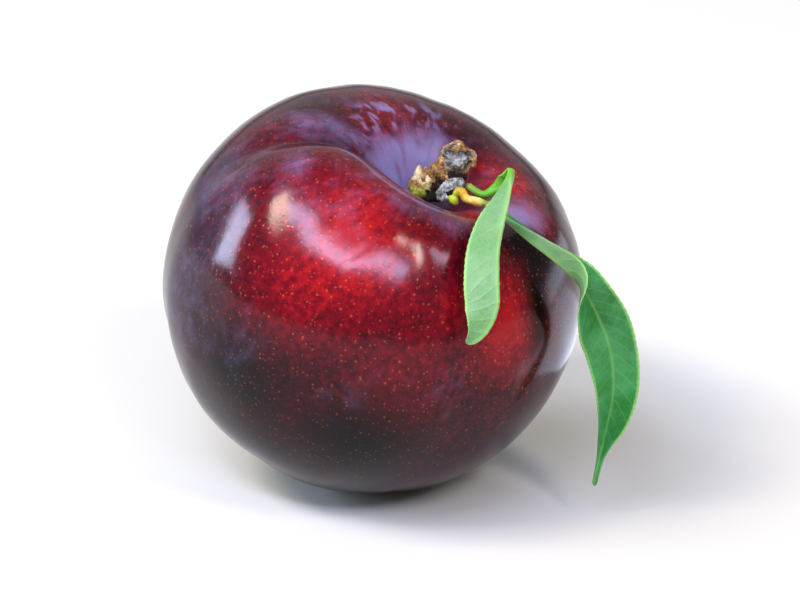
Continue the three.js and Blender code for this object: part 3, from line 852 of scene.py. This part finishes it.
# parts along a line of points, with the radius at each
spurTubes = {
    "core": ("heartBark", [(7.0, -4.6, 44.9), (8.2, -4.8, 45.7), (9.2, -4.6, 46.4)], [1.1, 1.35, 1.1]),
    "coreFoot": ("heartBark", [(5.9, -5.3, 43.9), (7.2, -5.4, 44.1), (8.6, -5.6, 44.4)], [0.7, 0.9, 0.7]),
    "coreSide": ("heartBark", [(9.0, -5.2, 46.9), (10.4, -5.0, 46.9), (11.6, -4.8, 46.6)], [0.7, 0.8, 0.6]),
    "budFootScale": ("budScale", [(4.2, -5.3, 44.2), (5.0, -5.6, 44.5), (6.1, -5.5, 44.9)], [0.7, 0.9, 0.6]),
    "innerScale": ("budScale", [(6.0, -5.4, 44.9), (6.4, -5.1, 46.1), (6.6, -4.5, 47.2)], [0.7, 0.6, 0.25]),
    "collarFlake": ("bark", [(9.6, -4.3, 50.1), (10.6, -4.0, 50.6), (11.5, -4.2, 50.0)], [0.35, 0.5, 0.3]),
    "sideFlake": ("bark", [(12.1, -4.2, 49.4), (12.6, -4.3, 48.7), (12.4, -4.6, 47.9)], [0.3, 0.42, 0.25]),
    "underFlake": ("bark", [(8.3, -5.2, 47.6), (8.6, -5.5, 46.9), (9.3, -5.5, 46.5)], [0.35, 0.5, 0.3]),
    "scarArch": (
        "leafScar", [(7.8, -5.6, 43.7), (8.5, -6.0, 45.0), (9.7, -6.1, 46.1), (11.3, -5.6, 46.0)],
        [0.65, 0.85, 0.8, 0.7],
    ),
    "scarFinger": ("leafScar", [(8.1, -6.2, 43.9), (8.9, -6.7, 44.4), (9.5, -6.5, 44.3)], [0.4, 0.5, 0.3]),
    "scarHollow": (
        "heartBark", [(8.9, -6.9, 45.0), (9.5, -7.0, 45.3), (10.1, -6.8, 45.5)], [0.2, 0.34, 0.22],
    ),
    "shoot": (
        "greenShoot",
        [(9.3, -6.0, 45.2), (9.9, -6.8, 45.0), (10.9, -7.2, 45.4), (11.7, -8.0, 44.7), (14.4, -8.3, 44.2)],
        [0.45, 0.55, 0.62, 0.6, 0.6],
    ),
    "shootBud": ("greenShoot", [(9.4, -6.7, 44.7), (9.9, -7.2, 44.2), (10.2, -7.1, 43.6)], [0.5, 0.66, 0.4]),
}


def turned(foot, axis, lobes, profile):
    # a profile turned round an axis, with its rim pushed in and out
    foot, axis = Vector(foot), Vector(axis).normalized()
    side = cross(axis, (1, 0, 0)).normalized()
    pairs = [Vector(pair) for pair in profile]

    def place(down, turn):
        radius, height = through(pairs, down * (len(pairs) - 1))
        radius *= 1 + lobes * math.cos(5 * turn + 0.6) + 0.5 * lobes * math.sin(3 * turn)
        outward = side * math.cos(turn) + cross(axis, side) * math.sin(turn)
        return (foot + axis * height + outward * radius,)

    return closedForm(*spur["turnedGrid"], place)


def tube(points, radii):
    points = [Vector(point) for point in points]
    last = len(points) - 1

    def place(down, turn):
        along = heading(points, down * last)
        side = cross(along, (0, -1, 0)).normalized()
        outward = side * math.cos(turn) + cross(along.normalized(), side) * math.sin(turn)
        rounded = min(1, 10 * down, 10 * (1 - down)) ** 0.5  # over a tenth of its length at each end
        return (through(points, down * last) + outward * through(radii, down * last) * rounded,)

    return closedForm(*spur["tubeGrid"], place)


def spurTone(finish, point):
    # where a point falls on its finish's ramp of colours
    if finish == "brokenWood":
        axis = Vector(spur["knobAxis"]).normalized()
        return cross(point - Vector(spur["knobMiddle"]), axis).length / spur["knobRamp"]
    if finish == "budScale":
        start, length = spur["budRamp"]
        return clamp((point.z - start) / length)
    if finish == "greenShoot":
        start, length = spur["shootRamp"]
        return clamp((point.x - start) / length)
    return 0.5


def grownTogether(parts):
    # the parts remeshed into one skin, and each part's finish with a tree of its own faces
    whole = bmesh.new()
    surfaces = []
    for finish, part in parts:
        surfaces.append((finish, BVHTree.FromBMesh(part)))
        data = toData("spurPart", part)
        whole.from_mesh(data)
        bpy.data.meshes.remove(data)
    block = addObject("spurParts", toData("spurParts", whole))
    skin = block.modifiers.new("skin", "REMESH")
    skin.mode = "VOXEL"
    skin.voxel_size = spur["faceSize"] * mm
    depsgraph = bpy.context.evaluated_depsgraph_get()
    grown = bpy.data.meshes.new_from_object(block.evaluated_get(depsgraph))
    bpy.data.objects.remove(block)
    mesh = bmesh.new()
    mesh.from_mesh(grown)
    bpy.data.meshes.remove(grown)
    return mesh, surfaces


def makeSpur(materials):
    parts = []
    for finish, foot, axis, lobes, profile in spurTurned.values():
        parts.append((finish, turned(spur[foot], spur[axis], lobes, profile)))
    for finish, points, radii in spurTubes.values():
        parts.append((finish, tube(points, radii)))
    mesh, surfaces = grownTogether(parts)

    # each point takes the finish of the part it is nearest to, and that finish's relief
    mesh.normal_update()
    tones = mesh.verts.layers.float_vector.new("tones")
    finishes = list(materials)
    held = {}
    moves = {}
    for vertex in mesh.verts:
        finish = min(surfaces, key=lambda surface: surface[1].find_nearest(vertex.co)[3])[0]
        point = vertex.co / mm
        coarse, fine = spur["relief"][finish]
        lumps = noise.noise(point * spur["lumps"])
        cracks = abs(noise.noise(point * spur["cracks"] + Vector((5, 9, 2))))
        cracks = 1 - min(1, cracks * spur["crackSharpness"])
        grit = noise.noise(point * spur["grit"])
        moves[vertex] = vertex.normal * (coarse * (lumps * 0.8 - cracks * 0.5) + fine * grit)
        vertex[tones] = (spurTone(finish, point), cracks, 0)
        held[vertex] = finishes.index(finish)
    for vertex, move in moves.items():
        vertex.co += move * mm
    for face in mesh.faces:
        face.smooth = True
        face.material_index = held[face.verts[0]]
    finishPiece("woodySpur", mesh, "spur_bark", materials.values(), "spur")


spurLook = {
    # each finish: roughness, size of its grain in mm, and its colours from one end to the other
    "bark": (0.85, 1.1, [
        (0.0, "#1f130b"), (0.28, "#6b4826"), (0.5, "#957046"), (0.7, "#c19e6c"), (0.9, "#b0a894"),
    ]),
    "heartBark": (0.9, 0.8, [(0.2, "#0c0806"), (0.5, "#241910"), (0.75, "#4b3825"), (0.95, "#77706a")]),
    "brokenWood": (0.8, 0.5, [
        (0.05, "#8a6466"), (0.22, "#a9aea8"), (0.5, "#838a86"), (0.64, "#1b1c19"), (0.8, "#5a5548"),
        (0.97, "#9a8a66"),
    ]),
    "budScale": (0.6, 0.8, [
        (0.05, "#6c6a12"), (0.3, "#87882a"), (0.5, "#b9a67c"), (0.75, "#d6caa6"), (1.0, "#b08a58"),
    ]),
    "leafScar": (0.75, 0.5, [
        (0.2, "#2c2a27"), (0.46, "#83847d"), (0.62, "#b8bcb8"), (0.9, "#7f7a6c"),
    ]),
    "greenShoot": (0.45, 0.9, [
        (0.05, "#a9bf3a"), (0.3, "#b98a26"), (0.55, "#e0b24c"), (0.85, "#d9cf8c"), (1.0, "#b9a94c"),
    ]),
}


def makeSpurFinish(name, roughness, grain, colours):
    # weathered wood and bark are dull, with little gloss of their own, and are darker in their cracks
    material, tree, shader = newMaterial(name, IOR=1.45, Roughness=roughness, Specular_IOR_Level=0.35)
    place = addNode(tree, "TexCoord").outputs["Object"]
    tones = addNode(tree, "Attribute", attribute_name="tones").outputs["Vector"]
    tone, cracks = addNode(tree, "SeparateXYZ", {0: tones}).outputs[:2]
    spread = addNode(tree, "TexNoise", {
        "Vector": place, "Scale": perMetre(grain), "Detail": 4.0, "Roughness": 0.65,
    }).outputs["Fac"]
    tone = brokenUp(tree, tone, spread, spur["toneReach"])
    colour = addNode(tree, "ValToRGB", {"Fac": tone}, stops=colours).outputs["Color"]
    # darker in the cracks, towards the ramp's darkest colour
    crackDarkening = addNode(tree, "MapRange", {"Value": cracks, 1: 0.3, 2: 1.0, 3: 0.0, 4: 0.85}).outputs[0]
    colour = addNode(tree, "Mix", {
        0: crackDarkening, 6: colour, 7: linear(colours[0][1]),
    }, data_type="RGBA").outputs[2]
    tree.links.new(colour, shader.inputs["Base Color"])
    fine = addNode(tree, "TexNoise", {
        "Vector": place, "Scale": perMetre(spur["grain"]), "Detail": 3.0,
    }).outputs["Fac"]
    bump = addNode(tree, "Bump", {
        "Height": fine, "Strength": 0.5, "Distance": spur["grainDepth"] * mm,
    }).outputs[0]
    tree.links.new(bump, shader.inputs["Normal"])
    return material


makeSpur({name: makeSpurFinish(name, *look) for name, look in spurLook.items()})


# the fruit's own stalk, short and mostly hidden under the spur
stalk = {
    "foot": 15.0,  # mm from the fruit's middle along the stem axis
    "length": 4.3,
    "radii": [0, 1.0, 1.02, 0.92, 0.84, 0.8, 0.82, 0.9, 1.0, 0.98, 0],
    "lobes": 0.05,
    "colours": [(0.35, "#3c3712"), (0.5, "#6b6427"), (0.65, "#8c7a3c")],
    "grain": 0.6,
}


def makeStalk():
    radii = stalk["radii"]
    profile = [(radius, stalk["length"] * i / (len(radii) - 1)) for i, radius in enumerate(radii)]
    foot = fruit["middle"] + fruit["stemAxis"] * stalk["foot"]
    mesh = turned(foot, fruit["stemAxis"], stalk["lobes"], profile)
    # a woody green stem is dull, and browner in patches
    material, tree, shader = newMaterial("woodyStem", IOR=1.45, Roughness=0.7)
    place = addNode(tree, "TexCoord").outputs["Object"]
    spread = addNode(tree, "TexNoise", {
        "Vector": place, "Scale": perMetre(stalk["grain"]), "Detail": 3.0,
    }).outputs["Fac"]
    colour = addNode(tree, "ValToRGB", {"Fac": spread}, stops=stalk["colours"]).outputs["Color"]
    tree.links.new(colour, shader.inputs["Base Color"])
    finishPiece("fruitStalk", mesh, "stalk", [material], "stalk")


makeStalk()


studio = {
    "floorSize": 6.0,  # metres
    "floor": "#d6d2c6",
    "world": "#f2f4f8",
    "worldStrength": 0.3,
    "exposure": 0.12,  # stops
    "gamma": 0.87,  # under 1, so that the darks stay deep
    # each light: degrees round the fruit from the front, to the right, degrees up, degrees turned in
    # its own plane, metres away, metres wide and high, watts and colour
    "lights": {
        "upperWindow": (-66, 50, -30, 1.1, 0.32, 0.3, 7.0, "#fff8ec"),
        "windowStrip": (-30, 54, -6, 1.1, 0.52, 0.16, 6.2, "#ccd6ff"),
        "lowerStrip": (9, 43, -20, 1.1, 0.62, 0.085, 5.0, "#c8d2ff"),
        "rightPane": (40, 42, 0, 1.1, 0.13, 0.28, 3.2, "#fff8f2"),
        "farPane": (60, 33, 0, 1.1, 0.12, 0.17, 1.0, "#ece8ff"),
        "lowPanel": (121, -2, 0, 0.25, 0.12, 0.036, 0.034, "#d4dff8"),
        "sideWindow": (-96, 17, 12, 1.0, 0.34, 0.44, 9.0, "#cfe0ff"),
        "leftPanel": (-125, 12, 0, 1.3, 1.0, 0.9, 2.4, "#b8ccff"),
        "backPanel": (180, 40, 0, 2.2, 4.5, 3.0, 20, "#fdfdff"),
    },
    # a small light table beside the fruit: its middle and size in metres, degrees turned, watts, colour
    "tableLight": ((0.109, 0.039, 0.002), 24, (0.15, 0.06), 0.04, "#d4dff8"),
}


def makeLamp(name, width, height, watts, colour):
    lamp = bpy.data.lights.new(name, "AREA")
    lamp.shape = "RECTANGLE"
    lamp.size, lamp.size_y, lamp.energy = width, height, watts
    lamp.color = linear(colour)[:3]
    holder = addObject(name, lamp)
    holder.visible_camera = False
    return holder


def makeStudio():
    mesh = bmesh.new()
    bmesh.ops.create_grid(mesh, x_segments=1, y_segments=1, size=studio["floorSize"] / 2)
    floor = addObject("floor", toData("floor", mesh))
    paint = newMaterial("floorPaint", Roughness=0.7, Base_Color=linear(studio["floor"]))[0]
    floor.data.materials.append(paint)

    world = bpy.data.worlds.new("studio")
    world.use_nodes = True
    background = world.node_tree.nodes["Background"]
    background.inputs["Color"].default_value = linear(studio["world"])
    background.inputs["Strength"].default_value = studio["worldStrength"]
    bpy.context.scene.world = world

    middle = fruit["middle"] * mm
    for name, (azimuth, elevation, roll, distance, *lamp) in studio["lights"].items():
        holder = makeLamp(name, *lamp)
        a, e, turn = math.radians(azimuth), math.radians(elevation), math.radians(roll)
        away = Vector((math.sin(a) * math.cos(e), -math.cos(a) * math.cos(e), math.sin(e)))
        holder.location = middle + away * distance
        facing = away.to_track_quat("Z", "Y") @ Quaternion((0, 0, 1), turn)
        holder.rotation_euler = facing.to_euler()
    place, roll, size, watts, colour = studio["tableLight"]
    table = makeLamp("tableLight", *size, watts, colour)
    table.location = place
    table.rotation_euler = (math.pi, 0, math.radians(roll))

    view = bpy.context.scene.view_settings
    view.view_transform = "Standard"
    view.exposure = studio["exposure"]
    view.gamma = studio["gamma"]
    print("studio", len(studio["lights"]) + 1, "lamps")


makeStudio()
